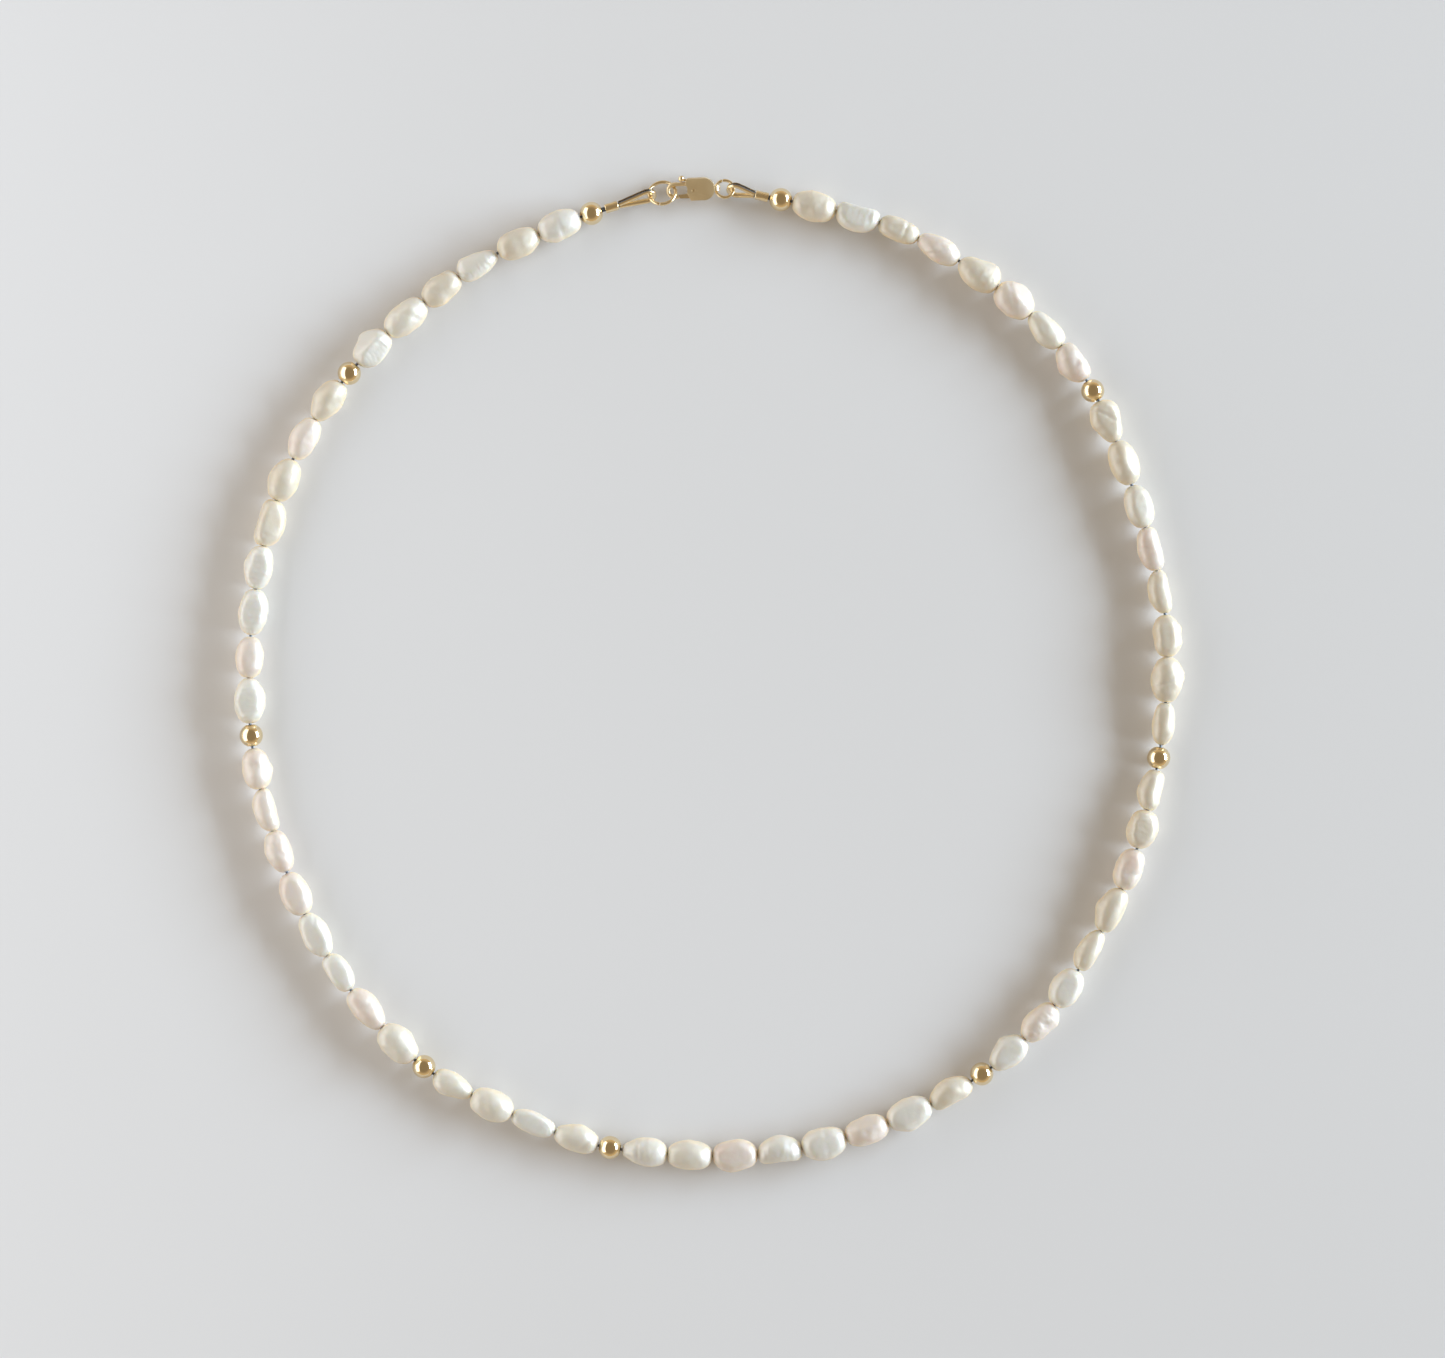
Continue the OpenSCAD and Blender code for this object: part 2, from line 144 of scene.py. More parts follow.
def new_material(name):
    """An empty material with its nodes, its shader and the place each point has."""
    material = bpy.data.materials.new(name)
    material.use_nodes = True
    material.node_tree.nodes.clear()
    nodes = Nodes(material.node_tree)
    shader = nodes.add("ShaderNodeBsdfPrincipled")
    output = nodes.add("ShaderNodeOutputMaterial")
    nodes.put(shader.outputs[0], output.inputs[0])
    where = nodes.add("ShaderNodeTexCoord").outputs["Object"]
    return material, nodes, shader, where


def rgb(r, g, b):
    """A colour given as it looks on screen, 0 to 255, as the linear colour a shader takes."""

    def linear(c):
        c /= 255
        return c / 12.92 if c <= 0.04045 else ((c + 0.055) / 1.055) ** 2.4

    return (linear(r), linear(g), linear(b), 1)


def floor_material():
    material, nodes, shader, where = new_material("floor_paper")
    grain = nodes.noise(where, 900, 2)
    cloud = nodes.noise(where, 6, 2)
    colour = nodes.mix(cloud, rgb(214, 214, 216), rgb(219, 219, 222))
    nodes.put(colour, shader.inputs["Base Color"])
    shader.inputs["Roughness"].default_value = 0.85
    bump = nodes.add("ShaderNodeBump", {"Height": grain, "Strength": 0.05, "Distance": 0.0001})
    nodes.put(bump.outputs[0], shader.inputs["Normal"])
    return material


def make_floor():
    """A plain pale sheet, 3 m across."""
    mesh = bpy.data.meshes.new("floor")
    half = 1.5
    corners = [(-half, -half, 0), (half, -half, 0), (half, half, 0), (-half, half, 0)]
    mesh.from_pydata(corners, [], [(0, 1, 2, 3)])
    floor = bpy.data.objects.new("floor", mesh)
    scene.collection.objects.link(floor)
    floor.data.materials.append(floor_material())


def make_world():
    """Warm room light: brighter walls, dim overhead. The windows are area lights."""
    world = bpy.data.worlds.new("room")
    world.use_nodes = True
    world.node_tree.nodes.clear()
    nodes = Nodes(world.node_tree)
    where = nodes.add("ShaderNodeTexCoord").outputs["Generated"]
    axes = nodes.add("ShaderNodeSeparateXYZ", {0: where}).outputs
    overhead = nodes.ramp(axes["Z"], 0.1, 0.75)
    colour = nodes.mix(overhead, (0.81, 0.65, 0.44, 1), (0.36, 0.29, 0.20, 1))
    background = nodes.add("ShaderNodeBackground", {"Color": colour, "Strength": 0.8})
    output = nodes.add("ShaderNodeOutputWorld")
    nodes.put(background.outputs[0], output.inputs[0])
    scene.world = world


make_camera()
make_floor()
make_world()
# Each light: where it stands, where it points, its size in metres, its watts and its colour.
make_area("window", (1.55, 0.3, 0.54), (0, 0, 0), (1.5, 0.6), 53, (0.75, 0.88, 1.0))
make_area("side_window", (-0.3, 0.02, 0.13), (-0.07, 0, 0), (0.7, 0.24), 1.0, (0.9, 0.95, 1.0))
scene.view_settings.view_transform = "Standard"


# ---- Materials -----------------------------------------------------------------
def nacre(name, top_tone_and_shade, rim_tone_and_glow, blush):
    """Satin mother-of-pearl with cloudy overtones and painted light in its colour: over the pearl's
    own tint, it is paler and greyer on top as painted shade and creamy round the rim as a painted
    warm glow.
    """
    material, nodes, shader, where = new_material(name)
    normal = nodes.add("ShaderNodeNewGeometry").outputs["Normal"]
    up = nodes.add("ShaderNodeSeparateXYZ", {0: normal}).outputs["Z"]
    cloud = nodes.noise(where, 260, 3, 0.55, 0.4)
    fine = nodes.noise(where, 1400, 4, 0.6)
    skin = nodes.noise(where, 5200, 3, 0.6)
    # Painted light: the colour turns from the rim colour to the top colour as the surface faces up,
    # broken up by cloud. The greyer top is a painted reflection of a dim ceiling, and the creamy
    # rim is a painted warm glow.
    height = nodes.maths("ADD", up, nodes.maths("MULTIPLY", cloud, 0.5))
    colour = nodes.mix(nodes.ramp(height, 0.4, 1.0), rim_tone_and_glow, top_tone_and_shade)
    colour = nodes.mix(nodes.maths("MULTIPLY", nodes.ramp(cloud, 0.5, 0.68), 0.4), colour, blush)
    nodes.put(colour, shader.inputs["Base Color"])
    satin = nodes.add(
        "ShaderNodeMapRange",
        {"Value": fine, "From Min": 0.3, "From Max": 0.7, "To Min": 0.4, "To Max": 0.54},
    )
    nodes.put(satin.outputs[0], shader.inputs["Roughness"])
    ripple = nodes.maths("MULTIPLY", fine, 1.4)
    relief = nodes.maths("ADD", ripple, nodes.maths("MULTIPLY", skin, 0.12))
    bump = nodes.add("ShaderNodeBump", {"Height": relief, "Strength": 0.4, "Distance": 0.00006})
    nodes.put(bump.outputs[0], shader.inputs["Normal"])
    shader.inputs["IOR"].default_value = 1.6
    shader.inputs["Metallic"].default_value = 0.26
    shader.inputs["Subsurface Weight"].default_value = 0.65
    shader.inputs["Subsurface Radius"].default_value = (1.0, 0.76, 0.48)
    shader.inputs["Subsurface Scale"].default_value = 0.0012
    shader.inputs["Coat Weight"].default_value = 0.18
    shader.inputs["Coat Roughness"].default_value = 0.16
    return material


def polished_gold(name, shine):
    """Warm polished gold with a faint haze and fine rubbed scratches."""
    material, nodes, shader, where = new_material(name)
    haze = nodes.noise(where, 700, 3, 0.55)
    lengthened = nodes.add("ShaderNodeMapping", {"Vector": where, "Scale": (9000, 1500, 9000)})
    scratches = nodes.noise(lengthened.outputs[0], 1.0, 4, 0.65, 0.6)
    colour = nodes.mix(haze, (0.91, 0.76, 0.50, 1), (0.84, 0.67, 0.41, 1))
    nodes.put(colour, shader.inputs["Base Color"])
    rough = nodes.add(
        "ShaderNodeMapRange",
        {"Value": haze, "From Min": 0.3, "From Max": 0.7, "To Min": shine, "To Max": shine + 0.1},
    )
    nodes.put(rough.outputs[0], shader.inputs["Roughness"])
    bump = nodes.add("ShaderNodeBump", {"Height": scratches, "Strength": 0.12, "Distance": 0.00001})
    nodes.put(bump.outputs[0], shader.inputs["Normal"])
    shader.inputs["Metallic"].default_value = 1
    return material


def coated_wire():
    """Fine steel strands under clear nylon: dark grey with a soft glint."""
    material, nodes, shader, where = new_material("beading_wire_coat")
    tone = nodes.noise(where, 2200, 3, 0.5)
    colour = nodes.mix(tone, rgb(74, 80, 88), rgb(120, 128, 138))
    nodes.put(colour, shader.inputs["Base Color"])
    rough = nodes.add("ShaderNodeMapRange", {"Value": tone, "To Min": 0.22, "To Max": 0.4})
    nodes.put(rough.outputs[0], shader.inputs["Roughness"])
    bump = nodes.add("ShaderNodeBump", {"Height": tone, "Strength": 0.2, "Distance": 0.00002})
    nodes.put(bump.outputs[0], shader.inputs["Normal"])
    shader.inputs["Metallic"].default_value = 0.8
    shader.inputs["Coat Weight"].default_value = 0.6
    shader.inputs["Coat Roughness"].default_value = 0.1
    return material


# Each tint: its top colour (own tint with painted shade), its rim colour (own tint with painted
# glow), then its blush.
NACRE = {
    "cream": nacre("nacre_cream", rgb(215, 209, 196), rgb(239, 222, 192), rgb(208, 195, 174)),
    "ivory": nacre("nacre_ivory", rgb(220, 217, 208), rgb(240, 226, 200), rgb(213, 206, 192)),
    "rose": nacre("nacre_rose", rgb(222, 214, 207), rgb(240, 224, 200), rgb(220, 197, 185)),
    "cool": nacre("nacre_cool", rgb(221, 220, 215), rgb(240, 228, 206), rgb(208, 208, 201)),
}
GOLD_BEAD = polished_gold("gold_bead_finish", 0.07)
GOLD_FINDING = polished_gold("gold_finding_finish", 0.2)
GOLD_SATIN = polished_gold("gold_clasp_finish", 0.36)
WIRE = coated_wire()


# ---- Mesh helpers --------------------------------------------------------------
def finish_piece(name, bm, material, smooth_angle):
    """Turns a bmesh into a smooth-shaded piece. Edges over smooth_angle degrees stay sharp."""
    bmesh.ops.remove_doubles(bm, verts=bm.verts, dist=1e-7)
    bmesh.ops.recalc_face_normals(bm, faces=bm.faces)
    for face in bm.faces:
        face.smooth = True
    for edge in bm.edges:
        if len(edge.link_faces) == 2 and edge.calc_face_angle(0) > math.radians(smooth_angle):
            edge.smooth = False
    mesh = bpy.data.meshes.new(name)
    bm.to_mesh(mesh)
    bm.free()
    mesh.materials.append(material)
    piece = bpy.data.objects.new(name, mesh)
    scene.collection.objects.link(piece)
    return piece


def skin_loops(bm, loops, close_along=False):
    """Faces between neighbouring closed loops. All loops have the same number of points."""
    rows = [[bm.verts.new(p) for p in loop] for loop in loops]
    count = len(rows[0])
    pairs = list(zip(rows, rows[1:]))
    if close_along:
        pairs.append((rows[-1], rows[0]))
    for low, high in pairs:
        for k in range(count):
            m = (k + 1) % count
            bm.faces.new((low[k], low[m], high[m], high[k]))
    return rows


def skin_tube(bm, loops):
    """A tube through the loops, closed with a flat face at each end."""
    rows = skin_loops(bm, loops)
    bm.faces.new(list(reversed(rows[0])))
    bm.faces.new(rows[-1])


def swept(path, section):
    """A section carried along a path. section(i) gives points in that loop's own plane."""
    headings = []
    for i in range(len(path)):
        ahead = path[min(i + 1, len(path) - 1)] - path[max(i - 1, 0)]
        headings.append(ahead.normalized())
    side = Vector((0, 0, 1))
    loops = []
    for i, heading in enumerate(headings):
        side = (side - heading * side.dot(heading)).normalized()
        other = heading.cross(side)
        loops.append([path[i] + side * x + other * y for x, y in section(i)])
    bm = bmesh.new()
    skin_tube(bm, loops)
    return bm


# ---- Where the beads lie: the same route and lengths as the CAD, in metres ------
STRAND_START = Vector((7.608, 61.134, 0)) * MM
STRAND_END = Vector((-13.872, 59.591, 0)) * MM
CLASP_Z = 1.45 * MM
ROUTE = [
    (13.5, 60), (24.5, 57), (35, 51), (43.5, 44), (49.5, 36), (53.5, 26.5), (57, 15.5),
    (59, 4.5), (58.5, -7), (57, -15.5), (54, -26), (49, -36), (42.5, -45.5), (35, -52),
    (26, -57), (14.5, -61), (3, -62.5), (-8.5, -62), (-17, -60.5), (-28, -56), (-37, -51),
    (-44.5, -43.5), (-51, -34), (-55.5, -23.5), (-58.5, -13), (-59.5, -3.5), (-59, 7.5),
    (-57, 19), (-52.5, 30), (-46.5, 38.5), (-39.5, 45.5), (-30, 52.5), (-19.5, 57.5),
]
PEARLS = [
    (5.6, 3.9, 0), (5.6, 3.9, 0), (5.3, 3.2, 0), (5.9, 3.7, -0.1),
    (5.8, 4.2, -0.1), (5.4, 4.1, 0), (5.5, 3.7, -0.1), (5.4, 3.6, 0),
    (5.5, 4.1, 0.15), (5.8, 3.8, 0), (5.6, 3.7, 0), (5.6, 3.3, 0),
    (5.6, 3.1, 0), (5.4, 3.8, 0), (5.7, 3.9, 0), (5.5, 3, 0),
    (5.2, 3.2, 0), (5, 3.9, 0), (5.4, 3.8, 0), (5.9, 3.5, 0),
    (5.7, 3.2, -0.1), (5.3, 4, 0), (5.7, 3.5, 0), (5.4, 4, 0.1),
    (5.9, 3.6, 0), (5.9, 4, 0), (5.6, 3.9, 0), (5.7, 4.1, 0),
    (5.6, 3.8, 0), (5.7, 3.9, 0), (5.7, 3.8, 0), (5.7, 4.1, 0.1),
    (5.7, 3.8, 0.1), (5.8, 3, 0), (5.6, 4.1, 0), (5.5, 3.5, -0.15),
    (5.7, 4.1, 0), (6.1, 3.8, -0.1), (5.3, 3.3, 0), (5.9, 3.4, 0),
    (5.7, 3.8, 0), (5.5, 3.4, 0), (5.5, 3.1, 0), (5.3, 3.8, 0),
    (5.7, 4, 0), (5.3, 3.7, 0), (5.9, 3.8, 0), (5.5, 3.6, 0),
    (6, 3.8, 0), (5.6, 3.8, 0), (5.7, 3.5, 0), (5.7, 4, -0.1),
    (5.4, 4.1, 0), (6.1, 3.9, 0), (5.4, 3.7, 0), (5.7, 3.5, 0.15),
    (5.7, 4.2, 0.1), (5.6, 3.9, 0),
]
RUNS = [8, 8, 8, 8, 4, 8, 8, 6]
GOLD_D = 3 * MM
GOLD_BORE = 1.1 * MM
PEARL_BORE = 0.7 * MM
# First bead, last bead and turning band of each stretch of the strand, clockwise.
STRETCHES = [
    (0, 4, 1), (5, 8, 2), (9, 11, 3), (12, 14, 4), (15, 17, 5), (18, 20, 6), (21, 23, 7),
    (24, 27, 8), (28, 40, 9), (41, 43, 8), (44, 46, 7), (47, 49, 6), (50, 52, 5), (53, 56, 4),
    (57, 59, 3), (60, 63, 2), (64, 66, 1),
]


def bead_list():
    """Every bead in order: (kind, number, length, width, taper), sizes in metres."""
    beads = [("gold", 1, GOLD_D, GOLD_D, 0)]
    pearl = 0
    for gold, run in enumerate(RUNS, start=2):
        for _ in range(run):
            length, width, taper = PEARLS[pearl]
            pearl += 1
            beads.append(("pearl", pearl, length * MM, width * MM, taper))
        beads.append(("gold", gold, GOLD_D, GOLD_D, 0))
    return beads


def fine_route():
    """The route as a smooth curve through its points, cut into short straight steps."""
    points = [STRAND_START, *(Vector((x, y, 0)) * MM for x, y in ROUTE), STRAND_END]
    last = len(points) - 1
    steps = 12
    fine = []
    for k in range(steps * last + 1):
        i = min(k // steps, last - 1)
        t = k / steps - i
        b, c = points[i], points[i + 1]
        a = points[i - 1] if i > 0 else 2 * b - c
        d = points[i + 2] if i + 1 < last else 2 * c - b
        turn = 2 * a - 5 * b + 4 * c - d
        twist = 3 * b - a - 3 * c + d
        fine.append(0.5 * (2 * b + (c - a) * t + turn * t**2 + twist * t**3))
    return fine


def find_knots(beads):
    """Knot i is the middle of the gap before bead i; the beads fill the route evenly."""
    fine = fine_route()
    along = [0.0]
    for a, b in zip(fine, fine[1:]):
        along.append(along[-1] + (b - a).length)
    lengths = [bead[2] for bead in beads]
    gap = (along[-1] - sum(lengths)) / (len(beads) - 1)
    knots = []
    for i in range(len(beads) + 1):
        if i == 0:
            s = 0.0
        elif i == len(beads):
            s = along[-1]
        else:
            s = sum(lengths[:i]) + (i - 0.5) * gap
        j = max(k for k in range(len(fine) - 1) if along[k] <= s)
        point = fine[j].lerp(fine[j + 1], (s - along[j]) / (along[j + 1] - along[j]))
        inner = 0 < i < len(beads)
        point.z = max(beads[i - 1][3], beads[i][3]) / 2 if inner else CLASP_Z
        knots.append(point)
    return knots


BEADS = bead_list()
KNOTS = find_knots(BEADS)


def band_of(bead):
    return next(band for first, last, band in STRETCHES if first <= bead <= last)


def bead_frame(i):
    """Middle, direction along the wire, outward direction and upward direction of a bead."""
    along = (KNOTS[i + 1] - KNOTS[i]).normalized()
    out = Vector((0, 0, 1)).cross(along).normalized()
    return (KNOTS[i] + KNOTS[i + 1]) / 2, along, out, along.cross(out)


def pearl_node(number):
    """The CAD node that holds this pearl: most nodes hold two neighbours."""
    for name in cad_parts:
        kind, *numbers = name.split("_")
        if kind in ("pearl", "pearls") and f"{number:02d}" in numbers:
            return name
    raise KeyError(number)


# ---- Pearls --------------------------------------------------------------------
# What sets each pearl apart, as (kind, values). The press functions below say what each does.
# Along runs from -1 at the near end to 1 at the far end. Angles turn from 0 on top towards 90
# on the outside of the loop. Sizes are in millimetres, and cuts and waists are shares.
# flat(angle, tilt, cut)  bow(angle, size)  waist(along, depth)  square(amount)
# bump and pit(along, angle, spread, height)  ridges(angle, spacing, height)
# groove(along, slant, depth)
MARKS = {
    1: [("ridges", 30, 0.7, 0.04), ("pit", 0.25, 0, 0.45, 0.12), ("bump", 0.5, -10, 0.9, 0.1)],
    2: [("flat", 90, 0, 0.28), ("bow", -90, 0.35), ("flat", 5, 0, 0.25), ("ridges", 0, 0.55, 0.05)],
    3: [("square", 0.6), ("groove", 0.3, 0, 0.14), ("pit", -0.3, -5, 0.35, 0.12)],
    4: [("pit", 0.1, 10, 0.4, 0.12), ("groove", 0.25, 50, 0.1)],
    5: [("bump", 0.5, 85, 1.3, 0.35), ("pit", 0.05, 0, 0.3, 0.12), ("pit", 0.35, -8, 0.25, 0.14),
        ("pit", 0.6, 5, 0.25, 0.12), ("ridges", 0, 0.5, 0.03)],
    6: [("bump", 0.05, 90, 1.3, 0.4), ("flat", 50, 10, 0.12), ("groove", -0.1, -50, 0.12)],
    7: [("flat", 60, -8, 0.15), ("bump", 0.15, -90, 1.6, 0.15), ("pit", -0.2, 0, 0.4, 0.08)],
    8: [("bump", 0.1, -90, 1.5, 0.4), ("flat", 90, 0, 0.2), ("groove", 0.45, 5, 0.06),
        ("groove", 0.65, 5, 0.06), ("pit", 0.1, 5, 0.4, 0.12)],
    9: [("bump", -0.45, 90, 1.2, 0.3), ("bump", -0.1, -90, 1.2, 0.25), ("flat", 0, 0, 0.3),
        ("groove", -0.3, 50, 0.1), ("ridges", 0, 0.9, 0.03)],
    10: [("flat", 30, 0, 0.1)],
    11: [("bump", -0.2, -5, 0.42, 0.2), ("pit", -0.2, -5, 0.2, 0.12), ("flat", 10, 0, 0.12)],
    12: [("flat", 75, -6, 0.18), ("bow", -90, 0.15), ("groove", -0.05, 10, 0.08)],
    13: [("flat", 90, -5, 0.18), ("bow", -90, 0.25)],
    14: [("bump", -0.3, 90, 0.8, 0.3), ("bump", 0.35, 90, 0.8, 0.25), ("waist", 0.05, 0.06),
         ("flat", 0, 0, 0.12), ("square", 0.3)],
    15: [("bump", -0.25, 80, 1.2, 0.35), ("groove", 0.1, -24, 0.16)],
    16: [("square", 0.35)],
    17: [("bump", 0.15, -90, 1.5, 0.3), ("flat", 90, 0, 0.2), ("flat", 40, 0, 0.2)],
    18: [("flat", 0, 0, 0.2), ("bump", -0.1, 90, 1.2, 0.15), ("ridges", 0, 0.8, 0.02)],
    19: [("flat", 0, 0, 0.1), ("groove", 0.2, -15, 0.05)],
    20: [("bump", 0.05, -90, 1, 0.35), ("flat", 70, 0, 0.12)],
    21: [("bump", 0.25, -90, 1.2, 0.2), ("flat", 80, 0, 0.12)],
    22: [("flat", 0, 0, 0.2), ("bump", -0.1, 90, 1.6, 0.12)],
    23: [("bump", -0.45, 85, 0.9, 0.3), ("bump", 0.3, -90, 1.1, 0.3), ("pit", -0.1, 20, 0.5, 0.15),
         ("ridges", 20, 0.5, 0.05)],
    24: [("bump", -0.2, -90, 1.1, 0.3), ("flat", 0, 0, 0.28), ("pit", -0.2, 5, 0.3, 0.08)],
    25: [("bow", -90, 0.25), ("flat", 80, 0, 0.2), ("bump", -0.5, 60, 0.8, 0.15)],
    26: [("bump", -0.1, -90, 1.4, 0.15), ("bump", 0.2, 90, 1.4, 0.2), ("flat", -5, 0, 0.2)],
    27: [("pit", 0.05, 0, 0.5, 0.2), ("square", 0.2), ("flat", -45, 0, 0.12)],
    28: [("square", 0.4), ("groove", -0.1, 4, 0.1), ("bump", 0, 90, 1.3, 0.2),
         ("flat", 0, 0, 0.15)],
    29: [("flat", 90, 0, 0.22), ("bow", -90, 0.35), ("pit", -0.05, 0, 0.55, 0.14),
         ("bump", -0.1, 0, 0.25, 0.1), ("ridges", 10, 0.45, 0.04)],
    30: [("bump", -0.3, -90, 1.3, 0.12), ("bump", 0.3, 90, 1.3, 0.3), ("flat", 0, 0, 0.2)],
    31: [("square", 0.3)],
    32: [("groove", 0.05, 3, 0.1), ("groove", 0.3, -4, 0.12), ("waist", 0.75, 0.12),
         ("bump", -0.4, 0, 1.4, 0.12)],
    33: [("bump", 0.05, -90, 1.2, 0.15), ("flat", 20, 0, 0.1), ("groove", -0.5, 30, 0.08)],
    34: [("square", 0.6), ("ridges", -15, 0.5, 0.05), ("flat", 0, 0, 0.18)],
    35: [("bump", -0.35, -20, 0.8, 0.1), ("pit", 0.25, 10, 0.5, 0.08)],
    36: [("bump", 0.25, 90, 1.2, 0.25)],
    37: [("bump", 0.1, -90, 1.4, 0.1), ("groove", -0.4, 12, 0.06), ("pit", 0.3, 5, 0.4, 0.06)],
    38: [("bump", 0.05, -90, 1.2, 0.12), ("pit", 0.15, 0, 0.4, 0.12)],
    39: [("flat", 90, 0, 0.14), ("square", 0.3), ("bow", -90, 0.1), ("flat", 0, 0, 0.12)],
    40: [("groove", 0, -65, 0.12), ("flat", 10, 0, 0.18), ("bump", 0.2, -90, 1.2, 0.15),
         ("bump", -0.3, 90, 1.2, 0.15)],
    41: [("bump", -0.1, 90, 1.4, 0.15), ("flat", 0, 0, 0.2), ("pit", 0.1, 25, 0.5, 0.05)],
    42: [("bump", 0.1, 90, 1.4, 0.25), ("flat", -80, 0, 0.1), ("groove", 0, 50, 0.06)],
    43: [("bow", 90, 0.35), ("flat", -85, 0, 0.22)],
    44: [("bump", -0.05, -90, 0.8, 0.2), ("waist", 0.25, 0.08), ("pit", 0.2, 0, 0.35, 0.15)],
    45: [("flat", 0, 0, 0.2), ("ridges", 0, 0.5, 0.04), ("waist", 0.75, 0.08)],
    46: [("square", 0.35)],
    47: [("flat", 0, 0, 0.18), ("ridges", 5, 0.5, 0.05)],
    48: [("flat", 0, -6, 0.18), ("ridges", 0, 0.5, 0.05), ("bump", 0.1, 90, 1, 0.15)],
    49: [("flat", 90, 0, 0.14), ("bow", -90, 0.3), ("flat", -20, 0, 0.2),
         ("pit", -0.5, 0, 0.35, 0.15)],
    50: [("bump", 0, 90, 1.4, 0.15)],
    51: [("bump", 0, 90, 1.6, 0.12), ("flat", -30, 0, 0.12)],
    52: [("bump", 0.1, 90, 1.4, 0.2), ("flat", -40, 0, 0.15), ("waist", -0.7, 0.08)],
    53: [("bump", 0.1, 88, 0.8, 0.5), ("flat", -35, 0, 0.25), ("flat", 45, 0, 0.2),
         ("ridges", -40, 0.45, 0.05)],
    54: [("pit", -0.3, 20, 0.4, 0.12), ("groove", 0.1, -30, 0.08), ("bump", 0.4, 10, 0.6, 0.1)],
    55: [("pit", -0.25, 10, 0.6, 0.14), ("waist", 0.3, 0.04)],
    56: [("bump", -0.6, 80, 0.9, 0.35), ("ridges", -10, 0.6, 0.06), ("flat", 15, 0, 0.2)],
    57: [("square", 0.4), ("pit", 0.1, -10, 0.35, 0.08)],
    58: [("square", 0.35), ("groove", 0, 3, 0.08)],
}
TINTS = {
    "cream": [1, 3, 5, 9, 10, 13, 14, 15, 16, 17, 18, 20, 21, 25, 49, 50, 52, 55, 57],
    "rose": [4, 6, 8, 12, 19, 23, 27, 30, 38, 41, 42, 43, 44, 46, 51],
    "cool": [2, 22, 24, 26, 28, 29, 32, 34, 39, 40, 45, 47, 48, 53, 56, 58],
}
# Loops of points along a pearl, and points round each loop.
LOOPS = 34
AROUND = 44
FACET_EDGE = 0.11 * MM
GROOVE_WIDTH = 0.22 * MM
WAIST_SHARE = 0.3
# Every pearl's own unevenness: (spacing, share of the radius) of its lumps, then its wrinkles.
LUMPS = [(2.6 * MM, 0.09), (1.1 * MM, 0.045)]
WRINKLE_SPACING, WRINKLE_HEIGHT = 0.6 * MM, 0.026 * MM
# The skin turns in to the drilled hole where it is this many times as wide as the hole.
LIP = 1.12
# Pearls nearly touch, so their ends are blunt and reach SNUG further than in the CAD. Ends at
# a fold are rounder and don't reach, to leave it room.
BLUNT_END, FOLD_END, SNUG = 0.74, 0.86, 0.07 * MM


def around(angle):
    """Direction across the wire, as (outward, up), for an angle from the top."""
    return Vector((0, math.sin(math.radians(angle)), math.cos(math.radians(angle))))


def place_on(size, along, angle):
    """A point on the plain pearl, in its own frame: x along the wire, y outward, z up."""
    length, width, _ = size
    x = along * length / 2
    r = width / 2 * max(0.0, 1 - along * along) ** 0.43
    return Vector((x, 0, 0)) + around(angle) * r


def across_wire(point):
    """The direction from the wire to a point, square to the wire."""
    return Vector((0, point.y, point.z)).normalized()


def press_flat(point, size, angle, tilt, cut):
    """A facet with soft edges. It cuts off a share of the radius, and tilts along the wire."""
    face = Matrix.Rotation(math.radians(tilt), 3, "Y") @ around(angle)
    over = (point.dot(face) - size[1] / 2 * (1 - cut)) / FACET_EDGE
    return point - face * (0.95 * FACET_EDGE * math.log(1 + math.exp(over)))


def press_bow(point, size, angle, bow):
    """The whole pearl bends: its middle goes one way and its ends the other."""
    bend = 1 - 2 * (2 * point.x / size[0]) ** 2
    return point + around(angle) * (bow * MM * bend * 0.5)


def press_waist(point, size, where, depth):
    """A narrower place all the way round."""
    off = (2 * point.x / size[0] - where) / WAIST_SHARE
    pinch = 1 - depth * math.exp(-off * off)
    return Vector((point.x, point.y * pinch, point.z * pinch))


def press_bump(point, size, along, angle, spread, height):
    """A round swelling."""
    far = (point - place_on(size, along, angle)).length / (spread * MM)
    return point + across_wire(point) * (height * MM * math.exp(-far * far))


def press_pit(point, size, along, angle, spread, depth):
    """A round dent."""
    return press_bump(point, size, along, angle, spread, -depth)


def press_ridges(point, size, angle, spacing, height):
    """Wavering growth ridges across the side that faces an angle."""
    across = across_wire(point)
    facing = max(0.0, across.dot(around(angle)))
    sway = noise.noise(point / (1.1 * MM)) * 0.9
    wave = math.sin(2 * math.pi * (point.x / (spacing * MM) + sway))
    return point + across * (height * MM * wave * facing**2)


def press_groove(point, size, where, slant, depth):
    """A crease over the top, at a slant to square across."""
    shear = math.tan(math.radians(slant)) * point.y
    off = (point.x - where * size[0] / 2 - shear) / GROOVE_WIDTH
    across = across_wire(point)
    top = min(1.0, max(0.0, across.z + 0.3))
    return point - across * (depth * MM * math.exp(-off * off) * top)


def press_square(point, size, amount):
    """Squarer in section, and fuller towards the ends."""
    turn = 4 * math.atan2(point.y, point.z)
    share = abs(2 * point.x / size[0])
    swell = 1 + amount * 0.06 * math.cos(turn - math.pi)
    fuller = 1 + amount * 0.25 * share**3 * (1 - share)
    return Vector((point.x, point.y * swell * fuller, point.z * swell * fuller))


PRESS = {
    "flat": press_flat,
    "bow": press_bow,
    "waist": press_waist,
    "bump": press_bump,
    "pit": press_pit,
    "ridges": press_ridges,
    "groove": press_groove,
    "square": press_square,
}


